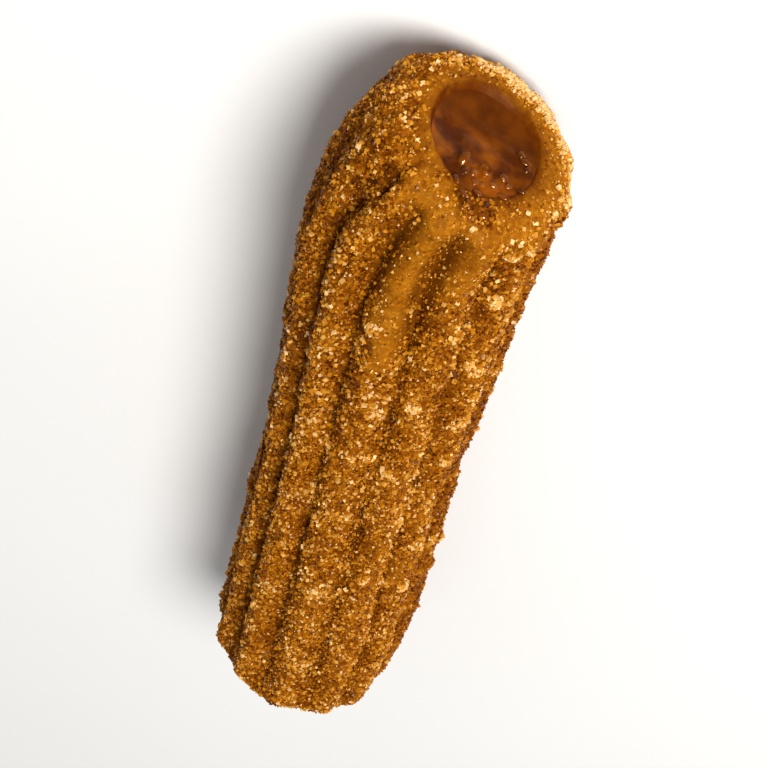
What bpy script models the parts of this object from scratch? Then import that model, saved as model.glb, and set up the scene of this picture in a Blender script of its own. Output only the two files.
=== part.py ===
"""A filled churro lying on its side: a ridged tube of fried dough round a core of caramel.

Metres, +Z up. The churro lies along Y with its shown end towards -Y, and rests on the plane Z = 0.
Both pieces are swept along one spine. A place on them is given by its station, which is the
distance along the spine from the shown rim, by its distance from the spine, and by its bearing
round the spine, which is 0 on top and grows towards -X.
"""

import math

import bpy
import numpy as np
from mathutils import Vector, noise

MM = 0.001

# Whole churro
LENGTH = 140 * MM  # along the spine, from rim to rim
BODY_RADIUS = 16.1 * MM  # spine to ridge crest at mid-length
REST_HEIGHT = 16.5 * MM  # of the spine; both swellings are pressed flat where they rest
FIT_GAP = 0.3 * MM  # between the caramel and the dough

# Ridges
RIDGES = 12
FIRST_RIDGE = math.radians(-4)  # bearing of the ridge that lies on top
GROOVE_DEPTH = 2.7 * MM
GROOVE_POWER = (1.8, 0.9)  # at the ends and on the body: 2 is a wave, and 1 has narrower grooves
GROOVE_NARROWING = 34 * MM  # station where the grooves have their narrow shape
RIDGE_WANDER = math.radians(2.2)  # how far a ridge strays from its even place
BASE_TURN = -FIRST_RIDGE  # turns the lowest ridge to lie straight below the spine
RIDGE_UNEVEN = 0.045  # share by which one ridge stands higher or lower than the next
LUMP_SIZE = 11 * MM
LUMP_HEIGHT = 0.35 * MM

# The two ends: the shown one, then the far one
SWELL = (1.8 * MM, 0.9 * MM)  # how much wider the churro is where it swells
SWELL_STATION = 23 * MM
SWELL_REACH = (32 * MM, 64 * MM)  # the swelling fades over this length, outwards and inwards
DOME_DROP = (5.4 * MM, 6.4 * MM)  # station of the shoulder, where the dome meets the side
RIM_RADIUS = (9.5 * MM, 9.1 * MM)  # spine to the crest of the rim
BORE_RADIUS = 6.8 * MM
MOUTH_DEPTH = 9.0 * MM  # where the mouth has narrowed to the bore
DOME_RIDGE_SHARE = 0.75  # ridge depth at the shoulder, as a share of the full depth
RIDGE_REACH = 16 * MM  # station where the ridges have their full depth

# Spine: each end curls away from the straight middle
CURL = (math.radians(24), math.radians(9))
CURL_REACH = (28 * MM, 24 * MM)
CURL_BEARING = (math.radians(71), math.radians(-75))
SPINE_STEP = 0.5 * MM

# Caramel
DISH_DEPTH = (5.6 * MM, 6.2 * MM)  # centre of the hollow, below the rim
DISH_RIM = 2.0 * MM  # where the caramel meets the mouth's wall, below the rim
CORE_COLUMNS = 24

# Fineness of the dough's faces
COLUMNS_PER_RIDGE = 6
DOME_RINGS = 8
BODY_RINGS = 13
MOUTH_RINGS = 5
BORE_RINGS = 3


def ease(x):
    """0 below 0, 1 above 1, and smooth between them."""
    x = np.clip(x, 0, 1)
    return x * x * (3 - 2 * x)


def from_end(station, end):
    return station if end == 0 else LENGTH - station


def radial(bearing):
    """The unit vector of a bearing at the straight middle of the spine."""
    return np.array([-math.sin(bearing), 0, math.cos(bearing)])


def make_spine():
    """Stations, points and directions along the spine, from the shown rim to the far one."""
    stations = np.linspace(0, LENGTH, round(LENGTH / SPINE_STEP) + 1)
    directions = np.tile([0.0, 1.0, 0.0], (len(stations), 1))
    for end, outwards in ((0, -1), (1, 1)):
        angle = CURL[end] * (1 - ease(from_end(stations, end) / CURL_REACH[end]))
        sideways = np.outer(np.sin(angle), radial(CURL_BEARING[end])) * outwards
        directions += sideways
    directions /= np.linalg.norm(directions, axis=1, keepdims=True)
    steps = (directions[1:] + directions[:-1]) / 2 * (stations[1] - stations[0])
    points = np.vstack([np.zeros(3), np.cumsum(steps, axis=0)])
    middle = points[len(points) // 2]
    return stations, points - middle, directions


def along_spine(spine, station):
    """The spine's point, and the unit vectors of bearing 0 and bearing 90 degrees there."""
    stations, points, directions = spine
    place = np.array([np.interp(station, stations, c) for c in points.T])
    forward = np.array([np.interp(station, stations, c) for c in directions.T])
    forward /= np.linalg.norm(forward)
    side = np.cross([0.0, 0.0, 1.0], forward)
    side /= np.linalg.norm(side)
    return place, np.cross(forward, side), side


def swept(spine, station, radius, bearing):
    place, up, side = along_spine(spine, station)
    return place + radius * (math.cos(bearing) * up + math.sin(bearing) * side)


def crest_radius(station):
    """Spine to ridge crest between the two shoulders."""
    radius = BODY_RADIUS
    for end in (0, 1):
        past = from_end(station, end) - SWELL_STATION
        reach = SWELL_REACH[0] if past < 0 else SWELL_REACH[1]
        radius += SWELL[end] * (1 - ease(abs(past) / reach))
    return radius


def ridge_share(station):
    """Ridge depth as a share of the full depth: none at the rims, all of it on the body."""
    near = min(station, LENGTH - station)
    drop = DOME_DROP[0] if station < LENGTH / 2 else DOME_DROP[1]
    on_dome = DOME_RIDGE_SHARE * ease(near / drop)
    on_side = (1 - DOME_RIDGE_SHARE) * ease((near - drop) / (RIDGE_REACH - drop))
    return on_dome + on_side


def wandering(bearing, station):
    """The bearing at which an even ridge would lie that strays to this one."""
    straight_below = BASE_TURN * math.sin(bearing / 2) ** 2
    slow = station / LENGTH * math.pi
    stray = math.sin(3 * bearing + 1.1 + slow) + 0.6 * math.sin(5 * bearing - 0.7 - slow)
    return bearing - straight_below + RIDGE_WANDER * stray / 1.6


def ridged(radius, station, bearing):
    """A radius with the ridges, their unevenness and the lumps of the dough in it."""
    share = ridge_share(station)
    turned = (wandering(bearing, station) - FIRST_RIDGE) * RIDGES / 2
    on_body = ease(min(station, LENGTH - station) / GROOVE_NARROWING)
    power = GROOVE_POWER[0] + (GROOVE_POWER[1] - GROOVE_POWER[0]) * on_body
    groove = 1 - abs(math.cos(turned)) ** power
    number = round(turned / math.pi) % RIDGES
    uneven = RIDGE_UNEVEN * math.sin(2.4 * number + 0.8) * (1 - groove)
    spot = Vector((radius * math.sin(bearing), station, radius * math.cos(bearing)))
    lump = noise.noise(spot / LUMP_SIZE) * LUMP_HEIGHT
    return radius + share * (lump + uneven * GROOVE_DEPTH - GROOVE_DEPTH * groove)


def dome_ring(fraction, end):
    """Station and radius on an end's dome: the rim's crest at 0 and the shoulder at 1."""
    angle = fraction * math.pi / 2
    shoulder = crest_radius(from_end(DOME_DROP[end], end))
    station = DOME_DROP[end] * (1 - math.cos(angle))
    radius = RIM_RADIUS[end] + (shoulder - RIM_RADIUS[end]) * math.sin(angle) ** 0.9
    return from_end(station, end), radius


def mouth_radius(depth, end):
    """Spine to the mouth's wall, at a depth below the rim."""
    closing = (1 - ease(depth / MOUTH_DEPTH)) ** 2
    return BORE_RADIUS + (RIM_RADIUS[end] - BORE_RADIUS) * closing


def mouth_ring(fraction, end):
    """Station and radius on the mouth's wall: the rim's crest at 0 and the bore at 1."""
    depth = MOUTH_DEPTH * fraction**1.3
    return from_end(depth, end), mouth_radius(depth, end)


def wall_profile():
    """Rings round the dough's wall: out over the shown dome, along the side and back inside."""
    outer = [dome_ring(k / DOME_RINGS, 0) for k in range(DOME_RINGS)]
    shoulders = DOME_DROP[0], LENGTH - DOME_DROP[1]
    for station in np.linspace(*shoulders, BODY_RINGS + 1):
        outer.append((station, crest_radius(station)))
    outer += [dome_ring(k / DOME_RINGS, 1) for k in range(DOME_RINGS - 1, -1, -1)]
    inner = [mouth_ring(k / MOUTH_RINGS, 1) for k in range(1, MOUTH_RINGS + 1)]
    for station in np.linspace(LENGTH - MOUTH_DEPTH, MOUTH_DEPTH, BORE_RINGS + 1)[1:-1]:
        inner.append((station, BORE_RADIUS))
    inner += [mouth_ring(k / MOUTH_RINGS, 0) for k in range(MOUTH_RINGS, 0, -1)]
    return outer, inner


def make_material(name, colour, roughness):
    material = bpy.data.materials.new(name)
    material.use_nodes = True
    shader = material.node_tree.nodes["Principled BSDF"]
    shader.inputs["Base Color"].default_value = (*colour, 1)
    shader.inputs["Roughness"].default_value = roughness
    shader.inputs["Metallic"].default_value = 0
    return material


def make_outward(piece):
    """Turns every face of a closed piece outwards."""
    bpy.context.view_layer.objects.active = piece
    bpy.ops.object.mode_set(mode="EDIT")
    bpy.ops.mesh.select_all(action="SELECT")
    bpy.ops.mesh.normals_make_consistent(inside=False)
    bpy.ops.object.mode_set(mode="OBJECT")


def finish(piece, collection, material):
    """Puts a piece in its collection, with its material and its faces smooth and outwards."""
    make_outward(piece)
    for old in list(piece.users_collection):
        old.objects.unlink(piece)
    collection.objects.link(piece)
    piece.data.materials.clear()
    piece.data.materials.append(material)
    piece.data.shade_smooth()


def make_dough(spine):
    """A torus reshaped: its rings round the tube become the rings of wall_profile."""
    outer, inner = wall_profile()
    columns, rings = RIDGES * COLUMNS_PER_RIDGE, len(outer) + len(inner)
    bpy.ops.mesh.primitive_torus_add(major_segments=columns, minor_segments=rings)
    dough = bpy.context.object
    dough.name = "dough"
    for number, vertex in enumerate(dough.data.vertices):
        column, ring = divmod(number, rings)
        bearing = FIRST_RIDGE + 2 * math.pi * column / columns
        station, radius = (outer + inner)[ring]
        if ring < len(outer):
            radius = ridged(radius, station, bearing)
        place = swept(spine, station, radius, bearing)
        place[2] = max(place[2] + REST_HEIGHT, 0)
        vertex.co = place
    return dough


def core_profile():
    """Stations and radii down the caramel, from the shown dish's centre to the far one's."""
    dish = []
    for end in (0, 1):
        edge = mouth_radius(DISH_RIM, end) - FIT_GAP
        rings = []
        for k in range(1, 6):
            across = k / 5
            depth = DISH_DEPTH[end] + (DISH_RIM - DISH_DEPTH[end]) * across**2
            rings.append((from_end(depth, end), edge * across))
        for k in range(1, MOUTH_RINGS + 1):
            depth = DISH_RIM + (MOUTH_DEPTH - DISH_RIM) * k / MOUTH_RINGS
            rings.append((from_end(depth, end), mouth_radius(depth, end) - FIT_GAP))
        dish.append(rings)
    bore = np.linspace(MOUTH_DEPTH, LENGTH - MOUTH_DEPTH, BORE_RINGS + 1)[1:-1]
    return dish[0] + [(s, BORE_RADIUS - FIT_GAP) for s in bore] + dish[1][::-1]


def make_core(spine):
    """A sphere reshaped: its poles become the centres of the two dishes."""
    profile = core_profile()
    rings = len(profile) + 1
    bpy.ops.mesh.primitive_uv_sphere_add(segments=CORE_COLUMNS, ring_count=rings)
    core = bpy.context.object
    core.name = "caramel"
    for vertex in core.data.vertices:
        polar = math.acos(max(-1, min(1, vertex.co.z)))
        ring = round(polar / math.pi * rings)
        bearing = math.atan2(vertex.co.y, vertex.co.x)
        if ring in (0, rings):
            end = 0 if ring == 0 else 1
            place = swept(spine, from_end(DISH_DEPTH[end], end), 0, 0)
        else:
            place = swept(spine, *profile[ring - 1], bearing)
        place[2] += REST_HEIGHT
        vertex.co = place
    return core


def centre(dough, core):
    """Puts the middle of the dough's box over the origin, and the caramel with it."""
    places = np.array([vertex.co for vertex in dough.data.vertices])
    middle = (places.min(axis=0) + places.max(axis=0)) / 2
    for piece in (dough, core):
        for vertex in piece.data.vertices:
            vertex.co.x -= middle[0]
            vertex.co.y -= middle[1]


def main():
    for old in list(bpy.data.objects):
        bpy.data.objects.remove(old)
    collection = bpy.data.collections.new("filled_churro")
    bpy.context.scene.collection.children.link(collection)
    spine = make_spine()
    dough = make_dough(spine)
    core = make_core(spine)
    centre(dough, core)
    finish(dough, collection, make_material("sugared_dough", (0.36, 0.13, 0.012), 0.7))
    finish(core, collection, make_material("caramel", (0.17, 0.04, 0.004), 0.15))


main()
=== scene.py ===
"""The looks of a caramel-filled churro: its crust, sugar and filling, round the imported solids.

Metres, +Z up. The shape follows part.py: both solids are swept along one spine, and a place on them
is a station (distance along the spine from the shown rim), a distance from the spine, and a bearing
round it (0 on top, growing towards -X). Here the same form gets a fine mesh, a rough crust and grains.
"""

import math

import bpy
import numpy as np
from mathutils import Matrix, Vector, noise


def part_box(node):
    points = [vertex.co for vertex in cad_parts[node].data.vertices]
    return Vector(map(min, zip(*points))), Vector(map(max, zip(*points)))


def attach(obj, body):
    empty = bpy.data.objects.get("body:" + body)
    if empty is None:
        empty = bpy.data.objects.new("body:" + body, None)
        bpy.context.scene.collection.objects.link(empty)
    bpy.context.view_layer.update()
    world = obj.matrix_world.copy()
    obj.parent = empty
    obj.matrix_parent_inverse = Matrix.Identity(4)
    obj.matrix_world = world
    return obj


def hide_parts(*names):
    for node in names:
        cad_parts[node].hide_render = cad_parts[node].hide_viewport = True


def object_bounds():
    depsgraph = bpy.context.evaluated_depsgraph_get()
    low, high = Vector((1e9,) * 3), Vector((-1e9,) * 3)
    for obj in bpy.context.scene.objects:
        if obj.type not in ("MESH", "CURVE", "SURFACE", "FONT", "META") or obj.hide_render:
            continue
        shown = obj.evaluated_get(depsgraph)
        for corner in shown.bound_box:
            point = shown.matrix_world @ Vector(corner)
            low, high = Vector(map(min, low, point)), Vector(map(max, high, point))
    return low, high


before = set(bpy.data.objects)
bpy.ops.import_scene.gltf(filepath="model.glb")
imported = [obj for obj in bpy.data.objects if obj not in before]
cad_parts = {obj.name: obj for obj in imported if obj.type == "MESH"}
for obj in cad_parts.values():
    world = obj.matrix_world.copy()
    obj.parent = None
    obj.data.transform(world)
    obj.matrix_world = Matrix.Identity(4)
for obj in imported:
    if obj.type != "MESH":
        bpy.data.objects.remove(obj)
cad_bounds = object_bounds()

MM = 0.001
SEED = 7

# The churro's form, as in part.py
LENGTH = 140 * MM
BODY_RADIUS = 16.1 * MM
REST_HEIGHT = 16.5 * MM
RIDGES = 12
FIRST_RIDGE = math.radians(-4)
GROOVE_DEPTH = 2.7 * MM
GROOVE_POWER = (1.8, 0.9)
GROOVE_NARROWING = 34 * MM
RIDGE_WANDER = math.radians(2.2)
BASE_TURN = -FIRST_RIDGE
RIDGE_UNEVEN = 0.045
LUMP_SIZE = 11 * MM
LUMP_HEIGHT = 0.35 * MM
SWELL = (1.8 * MM, 0.9 * MM)
SWELL_STATION = 23 * MM
SWELL_REACH = (32 * MM, 64 * MM)
DOME_DROP = (5.4 * MM, 6.4 * MM)
RIM_RADIUS = (9.5 * MM, 9.1 * MM)
BORE_RADIUS = 6.8 * MM
MOUTH_DEPTH = 9.0 * MM
DOME_RIDGE_SHARE = 0.75
RIDGE_REACH = 16 * MM
CURL = (math.radians(24), math.radians(9))
CURL_REACH = (28 * MM, 24 * MM)
CURL_BEARING = (math.radians(71), math.radians(-75))
SPINE_STEP = 0.5 * MM

# Fineness of the crust's mesh
COLUMNS_PER_RIDGE = 20
DOME_RINGS = 26
BODY_RINGS = 300
MOUTH_RINGS = 20
BORE_RINGS = 10

# Crust relief
CRUST = (  # size and height of each kind of lump
    (6.5 * MM, 0.30 * MM),
    (3.2 * MM, 0.36 * MM),
    (1.5 * MM, 0.26 * MM),
    (0.8 * MM, 0.09 * MM),
)
CREASE_DEPTH = 0.6 * MM  # an uneven crack along the bottom of each groove
GROOVE_FILL = 0.95 * MM  # how far sugar and swollen dough fill a groove in places
FILL_STEP = 12 * MM  # how far apart such places are
SMOOTH_SHARE = 0.2  # what is left of the relief where the crust is bare
CLUMPS = 90  # small heaps of sugar besides the three listed ones
CLUMP_HEIGHT = 0.5 * MM
LIP = 0.95 * MM  # how far the rounded lip leans into the mouth
LIP_DEPTH = 1.1 * MM


def ease(x):
    """0 below 0, 1 above 1, and smooth between them."""
    x = np.clip(x, 0, 1)
    return x * x * (3 - 2 * x)


def bump(x, width):
    """1 at 0, falling to about a third at width."""
    return np.exp(-((x / width) ** 2))


def wrapped(angle):
    """An angle between -pi and pi."""
    return (np.asarray(angle) + math.pi) % (2 * math.pi) - math.pi


def noise_at(points, size, seed=0.0):
    """Smooth noise from about -1 to 1 at each point, with lumps of the given size."""
    places = (np.asarray(points).reshape(-1, 3) / size + (seed, seed * 0.7, -seed)).tolist()
    values = np.fromiter((noise.noise(place) for place in places), float, len(places))
    return values.reshape(np.asarray(points).shape[:-1])


# ---------------------------------------------------------------------------------------------
# Form


def from_end(station, end):
    return station if end == 0 else LENGTH - station


def radial(bearing):
    return np.array([-math.sin(bearing), 0, math.cos(bearing)])


def make_spine():
    """Stations, points and directions along the spine, from the shown rim to the far one."""
    stations = np.linspace(0, LENGTH, round(LENGTH / SPINE_STEP) + 1)
    directions = np.tile([0.0, 1.0, 0.0], (len(stations), 1))
    for end, outwards in ((0, -1), (1, 1)):
        angle = CURL[end] * (1 - ease(from_end(stations, end) / CURL_REACH[end]))
        directions += np.outer(np.sin(angle), radial(CURL_BEARING[end])) * outwards
    directions /= np.linalg.norm(directions, axis=1, keepdims=True)
    steps = (directions[1:] + directions[:-1]) / 2 * (stations[1] - stations[0])
    points = np.vstack([np.zeros(3), np.cumsum(steps, axis=0)])
    return stations, points - points[len(points) // 2], directions


SPINE = make_spine()


def swept(station, radius, bearing):
    """Places, from arrays of stations, radii and bearings that share a shape."""
    station, radius, bearing = np.broadcast_arrays(station, radius, bearing)
    stations, points, directions = SPINE
    place = np.stack([np.interp(station, stations, c) for c in points.T], -1)
    forward = np.stack([np.interp(station, stations, c) for c in directions.T], -1)
    place += forward * (station - np.clip(station, 0, LENGTH))[..., None]
    side = np.cross([0.0, 0.0, 1.0], forward)
    side /= np.linalg.norm(side, axis=-1, keepdims=True)
    up = np.cross(forward, side)
    up /= np.linalg.norm(up, axis=-1, keepdims=True)
    round_it = np.cos(bearing)[..., None] * up + np.sin(bearing)[..., None] * side
    return place + radius[..., None] * round_it + (0, 0, REST_HEIGHT)


def crest_radius(station):
    radius = np.full_like(station, BODY_RADIUS)
    for end in (0, 1):
        past = from_end(station, end) - SWELL_STATION
        reach = np.where(past < 0, SWELL_REACH[0], SWELL_REACH[1])
        radius += SWELL[end] * (1 - ease(np.abs(past) / reach))
    return radius


def ridge_share(station):
    near = np.minimum(station, LENGTH - station)
    drop = np.where(station < LENGTH / 2, DOME_DROP[0], DOME_DROP[1])
    on_dome = DOME_RIDGE_SHARE * ease(near / drop)
    return on_dome + (1 - DOME_RIDGE_SHARE) * ease((near - drop) / (RIDGE_REACH - drop))


def ridge_phase(station, bearing):
    """Half-turns from the first ridge's crest: whole on a crest and halfway in a groove."""
    straight_below = BASE_TURN * np.sin(bearing / 2) ** 2
    slow = station / LENGTH * math.pi
    stray = np.sin(3 * bearing + 1.1 + slow) + 0.6 * np.sin(5 * bearing - 0.7 - slow)
    even = bearing - straight_below + RIDGE_WANDER * stray / 1.6
    return (even - FIRST_RIDGE) * RIDGES / 2 / math.pi


def groove_share(station, phase):
    """0 on a ridge's crest and 1 at a groove's bottom."""
    on_body = ease(np.minimum(station, LENGTH - station) / GROOVE_NARROWING)
    power = GROOVE_POWER[0] + (GROOVE_POWER[1] - GROOVE_POWER[0]) * on_body
    return 1 - np.abs(np.cos(phase * math.pi)) ** power


def dome_ring(fraction, end):
    angle = fraction * math.pi / 2
    shoulder = crest_radius(np.array([from_end(DOME_DROP[end], end)]))[0]
    station = DOME_DROP[end] * (1 - math.cos(angle))
    radius = RIM_RADIUS[end] + (shoulder - RIM_RADIUS[end]) * math.sin(angle) ** 0.9
    return from_end(station, end), radius


def mouth_radius(depth, end):
    closing = (1 - ease(depth / MOUTH_DEPTH)) ** 2
    return BORE_RADIUS + (RIM_RADIUS[end] - BORE_RADIUS) * closing


def rim_wobble(bearing, out, end):
    """How much wider than the plain form the mouth is, out from its rim or, below 0, inside it."""
    inside = -np.minimum(out, 0)
    lip = LIP * ease(inside / LIP_DEPTH) * (1 - ease((inside - LIP_DEPTH) / (5 * MM)))
    if end == 0:
        flat_side = bump(wrapped(bearing + math.radians(48)), math.radians(42))
        thick_side = bump(wrapped(bearing - math.radians(85)), math.radians(42))
        uneven = 0.18 * np.cos(3 * bearing + 1.0) + 0.1 * np.cos(5 * bearing)
        uneven -= 0.4 * flat_side + 0.85 * thick_side
    else:
        uneven = 0.3 * np.cos(2 * bearing) + 0.15 * np.cos(5 * bearing + 2)
    return uneven * MM * (1 - ease(np.abs(out) / (4 * MM))) - lip


def wall_profile():
    """Stations and radii round the dough's wall: out over the shown dome, along and back inside."""
    outer = [dome_ring((k / DOME_RINGS) ** 1.1, 0) for k in range(DOME_RINGS)]
    shoulders = DOME_DROP[0], LENGTH - DOME_DROP[1]
    stations = np.linspace(*shoulders, BODY_RINGS + 1)
    outer += list(zip(stations, crest_radius(stations)))
    outer += [dome_ring((k / DOME_RINGS) ** 1.1, 1) for k in range(DOME_RINGS - 1, -1, -1)]
    inner = []
    depths = MOUTH_DEPTH * (np.arange(1, MOUTH_RINGS + 1) / MOUTH_RINGS) ** 1.3
    inner += [(LENGTH - depth, mouth_radius(depth, 1)) for depth in depths]
    bore = np.linspace(LENGTH - MOUTH_DEPTH, MOUTH_DEPTH, BORE_RINGS + 1)[1:-1]
    inner += [(station, BORE_RADIUS) for station in bore]
    inner += [(depth, mouth_radius(depth, 0)) for depth in depths[::-1]]
    return np.array(outer), np.array(inner)


# ---------------------------------------------------------------------------------------------
# Where the crust is bare of sugar, stained or cracked. Out is how far a place lies from the nearer
# rim, measured over the crust, and is negative inside the mouth.


# How far the smooth crust reaches back from the shown rim: bearing in degrees, then mm
SMOOTH_REACH = (
    (-150, 1.5), (-90, 1), (-55, 1.5), (-38, 2), (-26, 7), (-19, 16), (-12, 27), (-4, 34), (4, 32),
    (11, 26), (19, 19), (26, 15), (41, 12), (56, 8), (75, 4.5), (100, 3.5), (140, 4), (180, 3),
)  # fmt: skip


def bareness(out, bearing, spots, shown):
    """1 where the crust is smooth and has little sugar, 0 where it is rough and sugared."""
    degrees, lengths = np.array(SMOOTH_REACH).T
    reach = np.interp(np.degrees(bearing), degrees, lengths, period=360) * MM
    reach *= 1 + 0.45 * noise_at(spots, 4 * MM, 3.0)
    front = (1 - ease((out - reach) / (0.3 * reach + 1.5 * MM))) * shown
    back = (1 - ease((out - 1.5 * MM - noise_at(spots, 5 * MM, 5.0) * 4 * MM) / (4 * MM))) * (1 - shown)
    patches = ease((noise_at(spots, 8 * MM, 9.0) - 0.3) / 0.2) * 0.55
    return np.clip(np.maximum(front + back, patches), 0, 1)


def stain(out, bearing, spots, shown):
    """1 where caramel has run over the rim or soaked the dough by it."""
    ragged = noise_at(spots, 2.2 * MM, 13.0)
    fine = noise_at(spots, 0.9 * MM, 15.0)
    smear = 4.8 * MM * bump(wrapped(bearing - math.radians(12)) + 0.35 * ragged, math.radians(20))
    run = 0.75 * (1 - ease((out - smear + 1.6 * MM) / (2.6 * MM) + 0.35 * fine)) * shown
    left = bump(wrapped(bearing + math.radians(60)), math.radians(55)) * shown
    tan = 0.3 * left * ease(0.6 + ragged) * (1 - ease((out - 3 * MM) / (3 * MM)))
    edge = noise_at(spots, 1.5 * MM, 17.0) * 0.4 * MM
    right = bump(wrapped(bearing - math.radians(62)), math.radians(38)) * shown
    soft = (3.6 - 2.4 * left + 0.6 * right) * MM
    reach = (1.3 - 0.5 * left - 0.3 * right) * MM
    soaked = 1 - ease((out - edge - 0.5 * MM * fine + reach) / soft)
    return np.clip(np.maximum(run * (smear > 0.3 * MM), soaked) + tan, 0, 1)


def lumpiness(out, bearing, shown):
    """1 on the shown end's left side, where sugar in lumps hides the grooves."""
    off = wrapped(bearing - math.radians(-68))
    return bump(off, math.radians(34)) * ease(out / (3 * MM)) * (1 - ease((out - 14 * MM) / (14 * MM))) * shown


def clumps(out, bearing, shown, rng):
    """1 on small heaps of sugar."""
    heaps = [(11.5, 47, 1.1), (25.6, 50, 1.25), (9.0, 52, 0.7)]
    heaps += [(rng.uniform(32, 72), rng.uniform(-180, 180), rng.uniform(0.5, 1.1)) for _ in range(CLUMPS)]
    made = np.zeros_like(out)
    for number, (at, degrees, radius) in enumerate(heaps):
        side = shown if number < 3 or number % 2 else 1 - shown
        across = wrapped(bearing - math.radians(degrees)) * BODY_RADIUS
        made = np.maximum(made, side * bump(np.hypot(out - at * MM, across), radius * MM))
    return made


def fissures(out, bearing, shown):
    """Depth of the few long cracks that split the crust near the shown end."""
    depth = np.zeros_like(out)
    cracks = (  # out from the rim, bearing in degrees, length, width, depth in mm, lean
        (8.6, -38.5, 8.0, 2.0, 2.0, 0.1),
        (17.0, -45, 6.0, 1.5, 1.0, -0.3),
        (24.0, -31, 6.0, 1.0, 0.9, -0.1),
        (32.0, 24, 5.0, 1.0, 1.0, 0.2),
        (43.0, -66, 6.0, 1.0, 1.0, 0.1),
        (52.0, 3, 5.0, 0.9, 0.8, 0.0),
    )
    for at, degrees, length, width, deep_and_shaded, lean in cracks:
        along = (out - at * MM) / MM
        across = wrapped(bearing - math.radians(degrees)) * BODY_RADIUS / MM - lean * along
        depth += deep_and_shaded * MM * bump(along, length / 2) * bump(across, width / 2)
    return depth * shown


# ---------------------------------------------------------------------------------------------
# Meshes


def grid_normals(places, columns_close=True, rings_close=False):
    """Unit normals of a grid of places whose first index is the ring."""
    if rings_close:
        down = np.roll(places, -1, 0) - np.roll(places, 1, 0)
    else:
        down = np.gradient(places, axis=0)
    across = np.roll(places, -1, 1) - np.roll(places, 1, 1)
    if not columns_close:
        across = np.gradient(places, axis=1)
    normals = np.cross(down, across)
    return normals / np.maximum(np.linalg.norm(normals, axis=-1, keepdims=True), 1e-12)


def grid_faces(rings, columns, rings_close):
    """Quads of a grid that closes round its columns, and round its rings if asked."""
    ring = np.arange(rings if rings_close else rings - 1)[:, None]
    column = np.arange(columns)[None, :]
    here, past = ring * columns, (ring + 1) % rings * columns
    after = (column + 1) % columns
    quads = [here + column, past + column, past + after, here + after]
    return np.stack([q.ravel() for q in quads], 1)


def new_piece(name, places, faces, smooth=True):
    """A mesh object from arrays: faces all have the same number of corners."""
    mesh = bpy.data.meshes.new(name)
    corners = faces.shape[1]
    mesh.vertices.add(len(places))
    mesh.vertices.foreach_set("co", np.asarray(places, np.float32).ravel())
    mesh.loops.add(faces.size)
    mesh.loops.foreach_set("vertex_index", faces.astype(np.int32).ravel())
    mesh.polygons.add(len(faces))
    mesh.polygons.foreach_set("loop_start", np.arange(0, faces.size, corners, dtype=np.int32))
    mesh.polygons.foreach_set("use_smooth", np.full(len(faces), smooth))
    mesh.update(calc_edges=True)
    piece = bpy.data.objects.new(name, mesh)
    bpy.context.scene.collection.objects.link(piece)
    return piece


def add_number(piece, name, values):
    """A number at each vertex, which the material reads by its name."""
    layer = piece.data.attributes.new(name, "FLOAT", "POINT")
    layer.data.foreach_set("value", np.asarray(values, np.float32).ravel())


def add_bake_map(piece, uv):
    """A map named OFBake for the piece's patterns, one row for each face corner."""
    layer = piece.data.uv_layers.new(name="OFBake")
    layer.uv.foreach_set("vector", np.asarray(uv, np.float32).ravel())


def grid_map(rings, columns, rings_close, heights):
    """Map places for grid_faces, with each ring's height given from 0 to 1."""
    heights = np.append(heights, 1.0)
    ring = np.arange(rings if rings_close else rings - 1)[:, None]
    column = np.arange(columns)[None, :]
    corners = []
    for down, across in ((0, 0), (1, 0), (1, 1), (0, 1)):
        u = np.broadcast_to((column + across) / columns, (len(ring), columns))
        v = np.broadcast_to(heights[ring + down], (len(ring), columns))
        corners.append(np.stack([u, v], -1).reshape(-1, 2))
    return np.stack(corners, 1).reshape(-1, 2)


# ---------------------------------------------------------------------------------------------
# Dough


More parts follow.
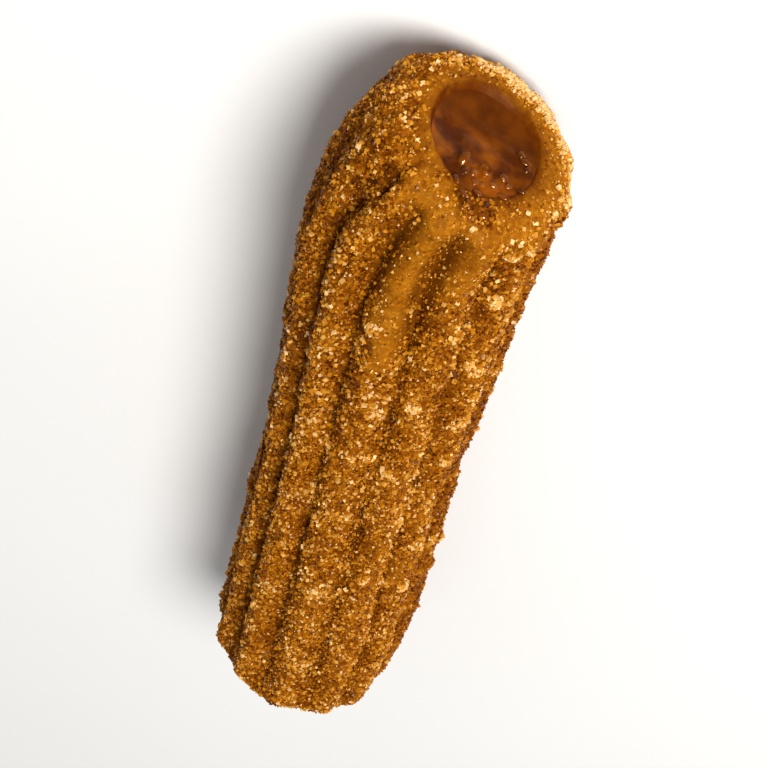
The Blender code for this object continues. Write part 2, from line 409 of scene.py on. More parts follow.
def crust_grid():
    """The fine crust: stations, bearings, places and the masks on it, as ring by column arrays."""
    outer, inner = wall_profile()
    columns = RIDGES * COLUMNS_PER_RIDGE
    bearing = FIRST_RIDGE + 2 * math.pi * np.arange(columns) / columns
    profile = np.vstack([outer, inner])
    over = over_profile(outer, inner)
    station, bearing = np.meshgrid(profile[:, 0], bearing, indexing="ij")
    radius, out = np.repeat(profile[:, 1:], columns, 1), np.repeat(over[:, None], columns, 1)
    outside = np.zeros_like(station)
    outside[: len(outer)] = 1
    shown = (station < LENGTH / 2).astype(float)

    wobble = rim_wobble(bearing, out, 0) * shown + rim_wobble(bearing, out, 1) * (1 - shown)
    radius = radius + wobble
    share = ridge_share(station) * outside
    phase = ridge_phase(station, bearing)
    groove = groove_share(station, phase)
    number = np.round(phase) % RIDGES
    uneven = RIDGE_UNEVEN * np.sin(2.4 * number + 0.8) * (1 - groove)
    spots = np.stack([radius * np.sin(bearing), station, radius * np.cos(bearing)], -1)
    lump = noise_at(spots, LUMP_SIZE) * LUMP_HEIGHT
    lumpy = lumpiness(out, bearing, shown) * outside
    along = np.stack([np.floor(phase) * 5.1, station / FILL_STEP, np.zeros_like(out)], -1)
    fill = GROOVE_FILL * np.clip(noise_at(along, 1.0) + 0.15, 0, 0.7) * ease((out - 20 * MM) / (20 * MM))
    left_side = bump(wrapped(bearing + math.radians(72)), math.radians(38))
    fingers = bump(out - 21 * MM, 15 * MM) * bump(wrapped(bearing - math.radians(5)), math.radians(42)) * shown
    silt = (0.3 + 0.5 * left_side) * (1 - fingers) * groove**5 - 0.9 * fingers * groove**1.5
    filled = np.maximum(fill, 0.9 * MM * lumpy) * groove**1.5 + silt * MM
    radius = radius + share * (lump + (uneven - groove) * GROOVE_DEPTH + filled)
    places = swept(station, radius, bearing)

    bare = bareness(out, bearing, spots, shown) * (1 - lumpy)
    soaked = stain(out, bearing, spots, shown)
    film = 0.22 * MM * soaked * ease((out + 0.5 * MM) / MM)
    rough = (1 - (1 - SMOOTH_SHARE) * bare) * (1 - 0.6 * soaked) * ease((out + MM) / (2 * MM))
    relief = sum(noise_at(spots, size, 20 + k) * height for k, (size, height) in enumerate(CRUST))
    relief += lumpy * noise_at(spots, 2.4 * MM, 27.0) * 0.55 * MM
    in_groove = bump((phase - np.floor(phase) - 0.5) * 2, 0.22)
    patchy = 0.6 + 0.9 * noise_at(spots * (1, 0.35, 1), 3 * MM, 31.0) - fill / MM
    crease = CREASE_DEPTH * in_groove * np.clip(patchy, 0, 1) * share * ease((out - 3 * MM) / (8 * MM))
    crease *= 1 - lumpy
    split = fissures(out, bearing, shown) * outside
    heaps = clumps(out, bearing, shown, np.random.default_rng(SEED + 1)) * outside
    normals = grid_normals(places, rings_close=True)
    height = relief * rough + film + CLUMP_HEIGHT * heaps - crease - split
    places = places + normals * height[..., None]
    # Painted shade: a mask that darkens the crust and its grains in grooves, creases, cracks and low pits, where shade
    # falls.
    pit_shade = np.clip(-relief * rough / (0.4 * MM), 0, 1) * outside
    deep_and_shaded = groove * share * (1 + 0.5 * fingers) - filled / MM * 0.5 + split / MM * 0.6 + crease / MM * 0.3 + 0.65 * pit_shade
    deep_and_shaded = np.clip(deep_and_shaded, 0, 1)
    return {
        "out": out,
        "bearing": bearing,
        "shown": shown,
        "spots": spots,
        "places": places,
        "bare": bare,
        "stain": soaked,
        "deep_and_shaded": deep_and_shaded,
        "hollow": fingers * groove * share,
        "heaps": heaps,
        "outer_rings": len(outer),
    }


def over_profile(outer, inner):
    """How far each ring lies from the nearer rim along the profile: inner rings count below 0."""
    steps = np.linalg.norm(np.diff(outer, axis=0), axis=1)
    from_shown = np.concatenate([[0], np.cumsum(steps)])
    over_outer = np.minimum(from_shown, from_shown[-1] - from_shown)
    return np.concatenate([over_outer, -np.minimum(inner[:, 0], LENGTH - inner[:, 0])])


def settle(crust):
    """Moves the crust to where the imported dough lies, and flattens it where it rests."""
    low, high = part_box("dough")
    places = crust["places"]
    flat = places.reshape(-1, 3)
    middle = (flat.min(axis=0) + flat.max(axis=0)) / 2
    shift = np.array([(low.x + high.x) / 2 - middle[0], (low.y + high.y) / 2 - middle[1], 0])
    places += shift
    places[..., 2] = np.maximum(places[..., 2], low.z)
    crust["normals"] = grid_normals(places, rings_close=True)
    return shift


def make_crust(crust):
    rings, columns = crust["out"].shape
    piece = new_piece("crust", crust["places"].reshape(-1, 3), grid_faces(rings, columns, True))
    for name in ("bare", "stain", "deep_and_shaded"):
        add_number(piece, name, crust[name])
    edge = crust["places"][:, 0]
    step = np.linalg.norm(np.diff(edge, axis=0, append=edge[:1]), axis=1)
    heights = np.concatenate([[0], np.cumsum(step)[:-1]]) / step.sum()
    add_bake_map(piece, grid_map(rings, columns, True, heights))
    return piece


# ---------------------------------------------------------------------------------------------
# Caramel

CARAMEL_COLUMNS = 200
DISH_RINGS = 80
WALL_RINGS = 6
BITE = 0.25 * MM  # how far the caramel reaches into the dough, so that no gap shows


def dish_edge(bearing, end):
    """Depth below the rim at which the caramel meets the mouth's wall."""
    if end == 1:
        return (0.9 + 0.3 * np.sin(2 * bearing)) * MM
    return (0.45 + 0.08 * np.sin(3 * bearing + 1) - 0.38 * np.cos(bearing - 0.25)) * MM


def caramel_radius(depth, bearing, end):
    """How far out the caramel reaches at a depth, which is just inside the dough."""
    return mouth_radius(depth, end) + rim_wobble(bearing, -depth, end) + BITE


DROPS = (  # place x, y, half-sizes in x, y and height in mm, then lean in degrees towards +y
    (-2.4, 5.5, 0.75, 1.60, 0.60, 42), (-1.5, 7.1, 0.70, 0.80, 0.42, 34), (-0.1, 6.5, 0.60, 0.75, 0.42, 32),
    (0.5, 7.7, 0.70, 0.50, 0.34, 30), (1.7, 7.3, 0.45, 0.40, 0.30, 28), (3.2, 6.5, 0.80, 0.60, 0.42, 30),
    (4.3, 4.2, 0.75, 0.60, 0.36, 30), (1.5, 5.6, 0.65, 0.40, 0.30, 32), (5.4, 5.2, 0.55, 0.50, 0.34, 30),
    (5.6, -1.0, 0.75, 0.80, 0.50, 44), (6.6, -0.4, 1.10, 0.55, 0.45, 44), (7.2, 0.6, 0.50, 0.70, 0.35, 36),
)  # fmt: skip


def dish_depth(x, y, share, edge, end):
    """Depth in mm of the caramel's surface at x, y in mm across the mouth: +y is the upper side."""
    turned = 1 if end == 0 else -1
    x, y = x * turned, y * turned
    spots = np.stack([x, y, np.full_like(x, 3.0 * end)], -1)
    along_slope = 0.58 * x + 0.81 * y + 0.8 * noise_at(spots, 3.5, 45.0)
    low = ease((5.0 - along_slope) / 11)
    floor = 0.3 + 2.0 * low
    depth = edge / MM + (floor - edge / MM) * (1 - share**2.6)
    ring = bump(np.hypot(x - 1.4, y - 4.7) - 0.9, 0.34) * 0.45
    mounds = [bump(np.hypot((x - d[0]) / d[2], (y - d[1]) / d[3]), 1.1) * d[4] * 0.8 for d in DROPS]
    band = bump(np.hypot(x + 1.0, y - 4.0) - 7.0, 1.2) * 0.25 * ease((1 - y) / 3)
    return depth - (ring + np.max(mounds, axis=0) + band) * (1 - share**8)


FAR_DROPS_SINK = 0.6  # in mm: the far end's beads lie deeper, so that none stands past its rim


SMEAR_DROPS = (  # out from the rim in mm, bearing in degrees, half-sizes in mm: along, across, height
    (0.1, -14, 0.45, 0.90, 0.40), (0.2, 8, 0.50, 0.75, 0.40), (0.0, 34, 0.40, 0.90, 0.36),
    (1.3, -4, 0.70, 0.40, 0.36), (1.5, 17, 0.45, 0.55, 0.34), (2.5, 4, 0.50, 0.34, 0.32),
    (2.9, 15, 0.60, 0.36, 0.32), (3.9, 9, 0.42, 0.30, 0.28), (0.1, 58, 0.35, 0.70, 0.30),
)  # fmt: skip


def smear_drop(crust, ball, drop):
    """A bead on the smear outside the shown mouth, at the crust's nearest place."""
    out, degrees, along_size, across_size, high = drop
    miss = np.abs(crust["out"] - out * MM) + (1 - crust["shown"])
    miss += np.abs(wrapped(crust["bearing"] - math.radians(degrees))) * RIM_RADIUS[0]
    ring, column = np.unravel_index(miss.argmin(), miss.shape)
    normal = crust["normals"][ring, column]
    across = np.cross(normal, (0, -1, 0))
    across /= np.linalg.norm(across)
    axes = np.stack([np.cross(across, normal) * along_size, across * across_size, normal * high]) * MM
    swell = 1 + 0.3 * noise_at(ball + (degrees, out, 0), 1.1, 63.0)[..., None]
    return crust["places"][ring, column] + ball * swell @ axes + normal * 0.25 * high * MM


def make_drops(crust, shift):
    """Wet beads and folds of caramel near the upper rim of each mouth, as one mesh."""
    rounds, columns = 16, 24
    down = math.pi * np.arange(rounds + 1) / rounds
    turn = 2 * math.pi * np.arange(columns) / columns
    down, turn = np.meshgrid(down, turn, indexing="ij")
    ball = np.stack([np.sin(down) * np.cos(turn), np.sin(down) * np.sin(turn), np.cos(down)], -1)
    quads = grid_faces(rounds + 1, columns, False)
    places, faces = [], []
    for end, sign in ((0, 1), (1, -1)):
        for at, up, wide, tall, high, lean in DROPS:
            spots = ball + (at, up, 5.0 * end)
            swell = 1 + 0.3 * noise_at(spots, 1.1, 61.0)[..., None]
            x, y, out = np.moveaxis(ball * swell * (wide, tall, high), -1, 0)
            c, s = math.cos(math.radians(lean)), math.sin(math.radians(lean))
            y, out = y * c + out * s, out * c - y * s
            here = [np.array([v]) for v in (at * sign, up * sign, math.hypot(at, up) / 8.6)]
            edge = dish_edge(np.arctan2(here[0], here[1]), end)
            depth = dish_depth(*here, edge, end)[0] + 0.35 * high - out + FAR_DROPS_SINK * end
            x, y = (x + at) * sign * MM, (y + up) * sign * MM
            place = swept(from_end(depth * MM, end), np.hypot(x, y), np.arctan2(x, y))
            faces.append(quads + len(places) * ball.shape[0] * columns)
            places.append(place.reshape(-1, 3) + shift)
    for drop in SMEAR_DROPS:
        faces.append(quads + len(places) * ball.shape[0] * columns)
        places.append(smear_drop(crust, ball, drop).reshape(-1, 3))
    return new_piece("caramel_beads", np.vstack(places), np.vstack(faces))


def make_dish(end, shift):
    """Rings of places over one dish, from next to its centre to the mouth's wall."""
    bearing = 2 * math.pi * np.arange(CARAMEL_COLUMNS) / CARAMEL_COLUMNS
    share = (np.arange(1, DISH_RINGS + 1) / DISH_RINGS) ** 0.8
    share, bearing = np.meshgrid(share, bearing, indexing="ij")
    edge = dish_edge(bearing, end)
    radius = caramel_radius(edge, bearing, end) * share
    x, y = radius * np.sin(bearing) / MM, radius * np.cos(bearing) / MM
    depth = dish_depth(x, y, share, edge, end) * MM
    spots = np.stack([x, y, np.full_like(x, 5.0 * end)], -1)
    lumpy = 0.2 + 0.8 * ease((y - 2.5) / 3)
    wrinkles = noise_at(spots, 1.7, 41.0) * 0.3 + noise_at(spots, 0.8, 43.0) * 0.2
    depth -= wrinkles * lumpy * MM * (1 - share**8)
    depth = np.maximum(depth, -1.1 * MM)
    # Painted shade: darker and rougher towards the dish's deep side, away from +y.
    dull_and_shaded = ease((1.5 - y) / 5) * ease(2 * share)
    return swept(from_end(depth, end), radius, bearing) + shift, edge, dull_and_shaded


def make_wall(end, edge, shift):
    """Rings down the mouth's wall, from the dish's edge to the bore."""
    bearing = 2 * math.pi * np.arange(CARAMEL_COLUMNS) / CARAMEL_COLUMNS
    rings = []
    for k in range(1, WALL_RINGS + 1):
        depth = edge[-1] + (MOUTH_DEPTH - edge[-1]) * k / WALL_RINGS
        radius = caramel_radius(depth, bearing, end)
        rings.append(swept(from_end(depth, end), radius, bearing) + shift)
    return np.stack(rings)


def make_caramel(shift):
    shown, shown_edge, shown_dull_and_shaded = make_dish(0, shift)
    far, far_edge, far_dull_and_shaded = make_dish(1, shift)
    walls = [make_wall(0, shown_edge, shift), make_wall(1, far_edge, shift)[::-1]]
    grid = np.concatenate([shown, walls[0], walls[1], far[::-1]])
    rings, columns = grid.shape[:2]
    centres = [shown[0].mean(axis=0), far[0].mean(axis=0)]
    places = np.vstack([grid.reshape(-1, 3), centres])
    quads = grid_faces(rings, columns, False)
    piece = new_piece("caramel_filling", places, quads[:, ::-1])
    dull_and_shaded = np.concatenate([shown_dull_and_shaded, np.ones((2 * WALL_RINGS, columns)), far_dull_and_shaded[::-1]])
    add_number(piece, "dull_and_shaded", np.append(dull_and_shaded.ravel(), [0, 0]))
    close_centres(piece, rings, columns)
    return piece


def close_centres(piece, rings, columns):
    """Adds the fans of triangles from each end's centre vertex to the ring next to it."""
    import bmesh

    made = bmesh.new()
    made.from_mesh(piece.data)
    made.verts.ensure_lookup_table()
    last = rings * columns
    for k in range(columns):
        after = (k + 1) % columns
        for centre, ring in ((last, 0), (last + 1, rings - 1)):
            corners = (centre, ring * columns + k, ring * columns + after)
            face = made.faces.new([made.verts[i] for i in corners])
            face.smooth = True
    bmesh.ops.recalc_face_normals(made, faces=made.faces)
    made.to_mesh(piece.data)
    made.free()


# ---------------------------------------------------------------------------------------------
# Sugar


def srgb(red, green, blue):
    """A linear colour from its 8-bit sRGB numbers."""
    c = np.array([red, green, blue]) / 255
    return tuple(np.where(c <= 0.04045, c / 12.92, ((c + 0.055) / 1.055) ** 2.4))


BOX = np.array([[x, y, z] for x in (-1, 1) for y in (-1, 1) for z in (-1, 1)], float)
BOX_FACES = np.array(
    [[0, 1, 3], [0, 3, 2], [4, 6, 7], [4, 7, 5], [0, 4, 5], [0, 5, 1]]
    + [[2, 3, 7], [2, 7, 6], [0, 2, 6], [0, 6, 4], [1, 5, 7], [1, 7, 3]]
)
DIAMOND = np.array([[1, 0, 0], [-1, 0, 0], [0, 1, 0], [0, -1, 0], [0, 0, 1], [0, 0, -1]], float) * 1.4
DIAMOND_FACES = np.array(
    [[0, 2, 4], [2, 1, 4], [1, 3, 4], [3, 0, 4], [2, 0, 5], [1, 2, 5], [3, 1, 5], [0, 3, 5]]
)
TETRA = np.array([[1, 1, 1], [1, -1, -1], [-1, 1, -1], [-1, -1, 1]], float)
TETRA_FACES = np.array([[0, 1, 2], [0, 3, 1], [0, 2, 3], [1, 3, 2]])


def random_turns(count, rng):
    """Random rotation matrices."""
    q = rng.normal(size=(count, 4))
    w, x, y, z = (q / np.linalg.norm(q, axis=1, keepdims=True)).T
    rows = [
        [1 - 2 * (y * y + z * z), 2 * (x * y - z * w), 2 * (x * z + y * w)],
        [2 * (x * y + z * w), 1 - 2 * (x * x + z * z), 2 * (y * z - x * w)],
        [2 * (x * z - y * w), 2 * (y * z + x * w), 1 - 2 * (x * x + y * y)],
    ]
    return np.array(rows).transpose(2, 0, 1)


def scatter(crust, density, count, rng):
    """Random places on the crust's outer rings, with normals and the cells they fell in."""
    rings = crust["outer_rings"]
    places, normals = crust["places"], crust["normals"]
    columns = places.shape[1]
    a, b = places[: rings - 1], places[1:rings]
    across = np.roll(a, -1, 1) - a
    area = np.linalg.norm(np.cross(across, b - a), axis=-1)
    weight = (area * density[: rings - 1]).ravel()
    cell = rng.choice(weight.size, count, p=weight / weight.sum())
    ring, column = np.divmod(cell, columns)
    after = (column + 1) % columns
    s, t = rng.random((2, count, 1))

    def between(grid):
        near = grid[ring, column] * (1 - t) + grid[ring, after] * t
        far = grid[ring + 1, column] * (1 - t) + grid[ring + 1, after] * t
        return near * (1 - s) + far * s

    normal = between(normals)
    normal /= np.linalg.norm(normal, axis=1, keepdims=True)
    return between(places), normal, (ring, column)


def make_grains(name, shape, centres, sizes, colours, rng, slimness=0.35):
    """One mesh of many grains: shape is its unit points and triangles, sizes are half-widths."""
    points, faces = shape
    count = len(centres)
    stretch = 1 + slimness * rng.uniform(-1, 1, (count, 1, 3))
    own = points[None] * stretch + rng.normal(0, 0.13, (count, len(points), 3))
    own = np.einsum("nij,nkj->nki", random_turns(count, rng), own)
    own = own * sizes[:, None, None] + centres[:, None]
    floor = cad_bounds[0][2] + 0.02 * MM
    own[..., 2] = np.maximum(own[..., 2], floor)
    all_faces = faces[None] + (np.arange(count) * len(points))[:, None, None]
    piece = new_piece(name, own.reshape(-1, 3), all_faces.reshape(-1, 3), smooth=False)
    per_point = np.repeat(colours, len(points))
    paint_grains(piece, per_point, np.repeat(colours, len(faces)))
    return piece


# Colours of the grains, from dark and stained to pale and clear
PALETTE = [
    srgb(84, 36, 1),
    srgb(112, 54, 3),
    srgb(140, 76, 6),
    srgb(164, 97, 10),
    srgb(182, 115, 19),
    srgb(200, 135, 38),
    srgb(216, 161, 78),
    srgb(234, 190, 124),
]


def paint_grains(piece, point_colours, face_colours):
    """Gives each grain a colour of the palette, and lays its faces on that colour's map cell."""
    layer = piece.data.color_attributes.new("tint", "FLOAT_COLOR", "POINT")
    rgba = np.hstack([np.array(PALETTE), np.ones((len(PALETTE), 1))])[point_colours]
    layer.data.foreach_set("color", rgba.astype(np.float32).ravel())
    cell = 1 / len(PALETTE)
    corner = np.array([[0.2, 0.2], [0.8, 0.2], [0.5, 0.8]])
    uv = corner[None] * (cell, 1) + np.stack([face_colours * cell, face_colours * 0], 1)[:, None]
    add_bake_map(piece, uv)


def pick_colours(count, weights, paler, rng):
    """Palette numbers drawn by weight, moved up or down by paler, one number for each grain."""
    weights = np.array(weights, float)
    drawn = rng.choice(len(weights), count, p=weights / weights.sum())
    moved = drawn + np.round(paler + rng.normal(0, 0.35, count)).astype(int)
    return np.clip(moved, 0, len(PALETTE) - 1)


def sugar_masks(crust):
    """Density and paleness of the sugar over the crust; the paleness also holds painted shade in grooves, in cracks and
    on the churro's sides.
    """
    out, bearing, spots = (crust[k] for k in ("out", "bearing", "spots"))
    bare, soaked = crust["bare"], crust["stain"]
    patches = 0.9 + 0.5 * noise_at(spots, 3.5 * MM, 51.0) + 0.7 * noise_at(spots, 1.3 * MM, 53.0)
    density = np.clip(patches, 0.15, 1.5) * (1 - 0.94 * bare) * (1 - 0.5 * soaked)
    density *= 1 - 0.55 * crust["hollow"]
    off = wrapped(bearing - math.radians(148))
    top = bump(wrapped(bearing - math.pi), math.radians(45))
    pale_rim = bump(out - (5.6 - 1.8 * top) * MM, 1.9 * MM) * bump(off, 1.1) * crust["shown"]
    run = soaked * ease(out / (0.5 * MM)) * bump(wrapped(bearing - math.radians(12)), 0.5) * crust["shown"]
    density = density + 4.0 * pale_rim + 5.0 * crust["heaps"] + 1.2 * run
    # Grains paler on the rim and on heaps, and darker in grooves and cracks, which is painted shade.
    paleness = 3.6 * pale_rim + 2.0 * crust["heaps"] + 1.3 * noise_at(spots, 5 * MM, 57.0) - 1.2 * crust["deep_and_shaded"]
    # Painted shade: grains darker on the churro's sides and underside, and darker still and sparser on the side towards
    # -X.
    shaded_flank = ease((np.abs(wrapped(bearing - math.radians(8))) - math.radians(45)) / math.radians(30))
    shaded_flank *= ease((out - 7 * MM) / (6 * MM))
    right_shaded_flank = shaded_flank * (wrapped(bearing) > 0)
    density *= 1 - 0.55 * right_shaded_flank
    paleness -= 2.4 * soaked + 0.7 * shaded_flank + 0.5 * right_shaded_flank
    paleness += 1.9 * noise_at(spots, 1.8 * MM, 59.0) * (1 - 0.8 * bare) + 0.8 * bare
    return density * (out > 0), paleness


def make_sugar(crust):
    """All the grains, one piece for each kind."""
    rng = np.random.default_rng(SEED)
    density, paleness = sugar_masks(crust)
    box, diamond, tetra = (BOX, BOX_FACES), (DIAMOND, DIAMOND_FACES), (TETRA, TETRA_FACES)
    kinds = (  # name, shape, count, half-width range in mm, how far out, colour weights
        ("sugar_crystals", box, 9000, (0.18, 0.3), 0.3, (0, 0, 1, 3, 5, 5, 4, 2)),
        ("sugar_grains", diamond, 24500, (0.15, 0.27), 0.15, (0, 1, 4, 8, 8, 5, 2, 1)),
        ("sugar_stained_grains", diamond, 24500, (0.14, 0.26), 0.1, (1, 4, 8, 7, 4, 1, 0, 0)),
        ("sugar_fines", tetra, 48000, (0.08, 0.14), 0.2, (0, 2, 5, 7, 6, 5, 3, 1)),
    )
    pieces = []
    for name, shape, count, (small, large), out, weights in kinds:
        least = {"sugar_crystals": 0.02, "sugar_fines": 0.32}.get(name, 0.13)
        where = density ** (1.3 if name == "sugar_crystals" else 1) + least * (crust["out"] > 0.3 * MM)
        places, normals, cells = scatter(crust, where, count, rng)
        sizes = rng.uniform(small, large, count) * MM
        centres = places + normals * (sizes * rng.uniform(out - 0.35, out + 0.35, count))[:, None]
        above = centres[:, 2] > 0.3 * MM
        colours = pick_colours(count, weights, paleness[cells], rng)
        piece = make_grains(name, shape, centres[above], sizes[above], colours[above], rng)
        pieces.append(piece)
    return pieces


# ---------------------------------------------------------------------------------------------
# Materials


def node(tree, kind, inputs=None, **settings):
    """Adds a node. An input is a socket to link, or a value to set."""
    made = tree.nodes.new(kind)
    for name, value in settings.items():
        setattr(made, name, value)
    for name, value in (inputs or {}).items():
        socket = made.inputs[name]
        if isinstance(value, bpy.types.NodeSocket):
            tree.links.new(value, socket)
        else:
            socket.default_value = (*value, 1) if socket.type == "RGBA" else value
    return made


def new_material(name, **settings):
    material = bpy.data.materials.new(name)
    material.use_nodes = True
    tree = material.node_tree
    shader = tree.nodes["Principled BSDF"]
    for socket, value in settings.items():
        shader.inputs[socket.replace("_", " ")].default_value = value
    return material, tree, shader


def attribute(tree, name):
    return node(tree, "ShaderNodeAttribute", attribute_name=name).outputs["Fac"]


def pattern(tree, scale, detail=3.0, roughness=0.6, offset=0.0):
    """Noise in the object's own space, from 0 to 1, with its scale in lumps a metre."""
    where = node(tree, "ShaderNodeTexCoord").outputs["Object"]
    moved = node(tree, "ShaderNodeMapping", {"Vector": where, "Location": (offset, offset, -offset)})
    inputs = {"Vector": moved.outputs[0], "Scale": scale, "Detail": detail, "Roughness": roughness}
    return node(tree, "ShaderNodeTexNoise", inputs).outputs["Fac"]


def spread(tree, value, low, high, to_low=0.0, to_high=1.0):
    """Maps a value's range onto another, clamped."""
    inputs = {"Value": value, 1: low, 2: high, 3: to_low, 4: to_high}
    return node(tree, "ShaderNodeMapRange", inputs).outputs[0]


def mixed(tree, share, first, second):
    """A colour mixed from two: second at share 1."""
    made = node(tree, "ShaderNodeMix", data_type="RGBA")
    for number, value in ((0, share), (6, first), (7, second)):
        if isinstance(value, bpy.types.NodeSocket):
            tree.links.new(value, made.inputs[number])
        else:
            made.inputs[number].default_value = value if number == 0 else (*value, 1)
    return made.outputs[2]


def maths(tree, operation, first, second):
    made = node(tree, "ShaderNodeMath", {0: first, 1: second}, operation=operation)
    return made.outputs[0]


def crust_material():
    """Fried dough: golden where bare, browner under the sugar as painted shade between the grains, darker in grooves,
    creases, cracks and pits as painted shade, and glazed where caramel ran.
    """
    material, tree, shader = new_material("fried_crust", Specular_IOR_Level=0.02, Specular_Tint=(1.0, 0.85, 0.6, 1.0))
    golden = mixed(tree, spread(tree, pattern(tree, 260), 0.35, 0.68), srgb(146, 83, 8), srgb(168, 101, 13))
    toast = spread(tree, pattern(tree, 90, offset=3.0), 0.48, 0.7)
    golden = mixed(tree, maths(tree, "MULTIPLY", toast, 0.5), golden, srgb(126, 66, 5))
    blots = spread(tree, pattern(tree, 620, 3.0, 0.7, 12.0), 0.47, 0.62)
    golden = mixed(tree, maths(tree, "MULTIPLY", blots, 0.5), golden, srgb(106, 55, 4))
    light = spread(tree, pattern(tree, 820, 3.0, 0.7, 14.0), 0.55, 0.68)
    golden = mixed(tree, maths(tree, "MULTIPLY", light, 0.5), golden, srgb(192, 124, 28))
    # Painted shade: a darker brown under the sugar, standing in for the shade between the grains.
    brown_shade_under_sugar = mixed(tree, spread(tree, pattern(tree, 700, offset=4.0), 0.4, 0.66), srgb(108, 50, 3), srgb(156, 88, 9))
    colour = mixed(tree, attribute(tree, "bare"), brown_shade_under_sugar, golden)
    grit = spread(tree, pattern(tree, 1500, 2.0, offset=5.0), 0.52, 0.7)
    colour = mixed(tree, maths(tree, "MULTIPLY", grit, 0.55), colour, srgb(190, 126, 30))
    specks = spread(tree, pattern(tree, 1200, 2.0, offset=9.0), 0.6, 0.7)
    colour = mixed(tree, maths(tree, "MULTIPLY", specks, 0.45), colour, srgb(84, 40, 4))
    # Painted shade: the crust is darkened in grooves, creases, cracks and pits.
    deep_and_shaded = spread(tree, attribute(tree, "deep_and_shaded"), 0.3, 1.0)
    colour = mixed(tree, maths(tree, "MULTIPLY", deep_and_shaded, 0.7), colour, srgb(90, 42, 4))
    glazed = attribute(tree, "stain")
    colour = mixed(tree, glazed, colour, srgb(88, 35, 1))
    tree.links.new(colour, shader.inputs["Base Color"])
    matt = spread(tree, pattern(tree, 700, offset=7.0), 0.3, 0.7, 0.42, 0.66)
    shine = spread(tree, glazed, 0.0, 1.0, 1.0, 0.8)
    tree.links.new(maths(tree, "MULTIPLY", matt, shine), shader.inputs["Roughness"])
    fine = maths(tree, "ADD", pattern(tree, 1600, 3.0, 0.65), maths(tree, "MULTIPLY", pattern(tree, 500), 0.8))
    strength = spread(tree, glazed, 0.2, 0.8, 0.55, 0.15)
    height = node(tree, "ShaderNodeBump", {"Height": fine, "Strength": strength, "Distance": 0.00022})
    tree.links.new(height.outputs[0], shader.inputs["Normal"])
    return material


def caramel_material(name, specular):
    """Soft caramel: deep amber with paler streaks, painted shade towards the deep side of each dish, and a wet gloss.
    """
    material, tree, shader = new_material(
        name, Specular_IOR_Level=specular, Specular_Tint=(1.0, 0.8, 0.5, 1.0)
    )
    streaks = spread(tree, pattern(tree, 300, 2.0, 0.5), 0.36, 0.64)
    colour = mixed(tree, streaks, srgb(73, 28, 1), srgb(134, 67, 5))
    dark = spread(tree, pattern(tree, 180, 2.0, offset=4.0), 0.5, 0.75)
    colour = mixed(tree, maths(tree, "MULTIPLY", dark, 0.6), colour, srgb(70, 28, 1))
    # Painted shade: the caramel is darker towards the dish's deep side; there it is also rougher.
    dull_and_shaded = attribute(tree, "dull_and_shaded")
    colour = mixed(tree, maths(tree, "MULTIPLY", dull_and_shaded, 0.7), colour, srgb(76, 31, 1))
    tree.links.new(colour, shader.inputs["Base Color"])
    gloss = spread(tree, pattern(tree, 900, 2.0), 0.35, 0.7, 0.1, 0.2)
    gloss = maths(tree, "ADD", gloss, maths(tree, "MULTIPLY", dull_and_shaded, 0.35))
    tree.links.new(gloss, shader.inputs["Roughness"])
    wrinkle = pattern(tree, 620, 2.0, 0.5, 2.0)
    height = node(tree, "ShaderNodeBump", {"Height": wrinkle, "Strength": 0.25, "Distance": 0.0003})
    tree.links.new(height.outputs[0], shader.inputs["Normal"])
    return material


def grain_material(name, **settings):
    """Sugar or spice, each grain in its own colour."""
    material, tree, shader = new_material(name, **settings)
    tint = node(tree, "ShaderNodeAttribute", attribute_name="tint").outputs["Color"]
    tree.links.new(tint, shader.inputs["Base Color"])
    return material


def floor_material():
    material, tree, shader = new_material("pale_floor", Roughness=0.7, Specular_IOR_Level=0.2)
    cloud = spread(tree, pattern(tree, 6, 2.0), 0.3, 0.7)
    colour = mixed(tree, cloud, srgb(236, 235, 233), srgb(241, 240, 238))
    tree.links.new(colour, shader.inputs["Base Color"])
    return material


# ---------------------------------------------------------------------------------------------
# Studio

CAMERA_ELEVATION = math.radians(47)  # above the horizon, looking along +Y
CAMERA_LEAN = math.radians(16)  # the churro's lean in the picture, to the right
CAMERA_DISTANCE = 0.32  # from the shown mouth
LENS = 106
SENSOR = 36


def camera_axes(centre, location):
    """Right, up and back of a camera that looks at centre, turned so that -Y leans up and right."""
    forward = (centre - location).normalized()
    along = Vector((0, -1, 0))
    up = (along - forward * along.dot(forward)).normalized()
    right = forward.cross(up)
    up = up * math.cos(CAMERA_LEAN) - right * math.sin(CAMERA_LEAN)
    return forward.cross(up), up, -forward


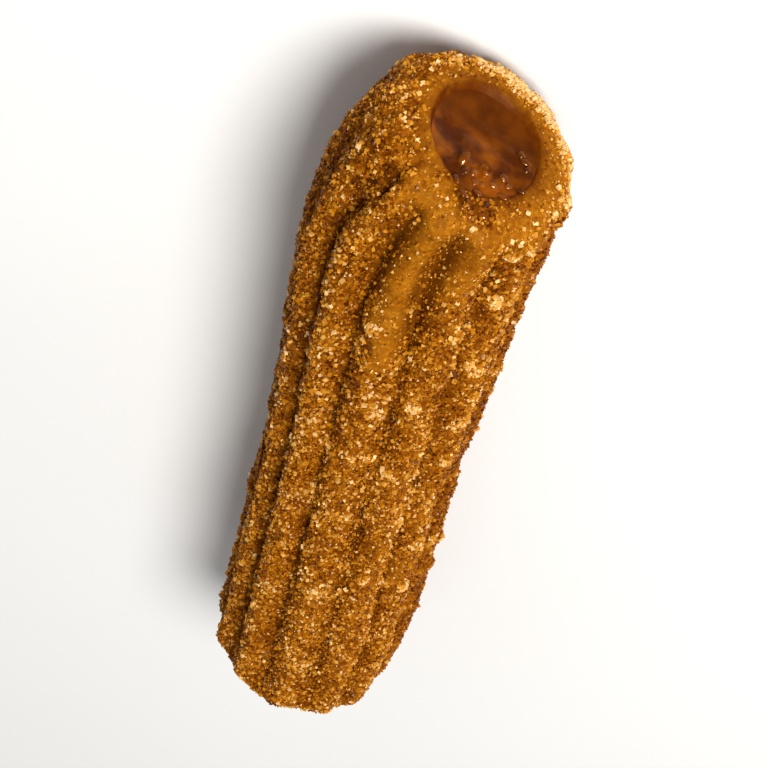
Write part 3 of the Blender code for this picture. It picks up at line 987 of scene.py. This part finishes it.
def make_camera(mouth, centre):
    away = Vector((0, -math.cos(CAMERA_ELEVATION), math.sin(CAMERA_ELEVATION)))
    location = mouth + away * CAMERA_DISTANCE
    right, up, back = camera_axes(centre, location)
    data = bpy.data.cameras.new("camera")
    data.lens, data.sensor_width, data.clip_start = LENS, SENSOR, 0.02
    camera = bpy.data.objects.new("camera", data)
    rows = zip(right, up, back, location)
    camera.matrix_world = Matrix([*rows, (0, 0, 0, 1)])
    bpy.context.scene.collection.objects.link(camera)
    bpy.context.scene.camera = camera
    return right, up, back


def make_light(name, aim, direction, distance, size, power, tint=(1, 1, 1), only_shine=False):
    data = bpy.data.lights.new(name, "AREA")
    data.shape, data.size, data.energy, data.color = "DISK", size, power, tint
    light = bpy.data.objects.new(name, data)
    light.location = aim + direction.normalized() * distance
    light.rotation_euler = (aim - light.location).to_track_quat("-Z", "Y").to_euler()
    light.visible_diffuse = not only_shine
    bpy.context.scene.collection.objects.link(light)


def make_studio(mouth):
    low, high = cad_bounds
    centre = Vector((0.0, -0.006, 0.014))
    right, up, back = make_camera(mouth, centre)
    towards_key = Vector((-0.40, -0.42, 0.82))
    make_light("key", mouth, towards_key, 0.9, 0.5, 11.0, (1, 0.99, 0.97))
    make_light("spark", mouth, towards_key, 0.8, 0.14, 17.0, (1, 0.88, 0.68), only_shine=True)
    world = bpy.data.worlds.new("studio")
    bpy.context.scene.world = world
    world.use_nodes = True
    world.node_tree.nodes["Background"].inputs["Color"].default_value = (1, 1, 1, 1)
    world.node_tree.nodes["Background"].inputs["Strength"].default_value = 0.32
    bpy.ops.mesh.primitive_plane_add(size=6, location=(0, 0, low[2]))
    floor = bpy.context.object
    floor.name = "floor"
    floor.data.materials.append(floor_material())
    bpy.context.scene.view_settings.view_transform = "Standard"
    del high


# ---------------------------------------------------------------------------------------------


def dress(piece, material, node_name=None):
    piece.data.materials.append(material)
    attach(piece, "root")
    if node_name:
        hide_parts(node_name)


def main():
    crust = crust_grid()
    shift = settle(crust)
    dress(make_crust(crust), crust_material(), "dough")
    dress(make_caramel(shift), caramel_material("soft_caramel", 0.04), "caramel")
    dress(make_drops(crust, shift), caramel_material("wet_caramel", 0.25))
    sugar = grain_material(
        "sugar", Roughness=0.25, Specular_IOR_Level=0.08, Specular_Tint=(1.0, 0.85, 0.6, 1.0)
    )
    for piece in make_sugar(crust):
        dress(piece, sugar)
    mouth = swept(np.array([0.0]), np.array([0.0]), np.array([0.0]))[0] + shift
    make_studio(Vector(mouth))


main()
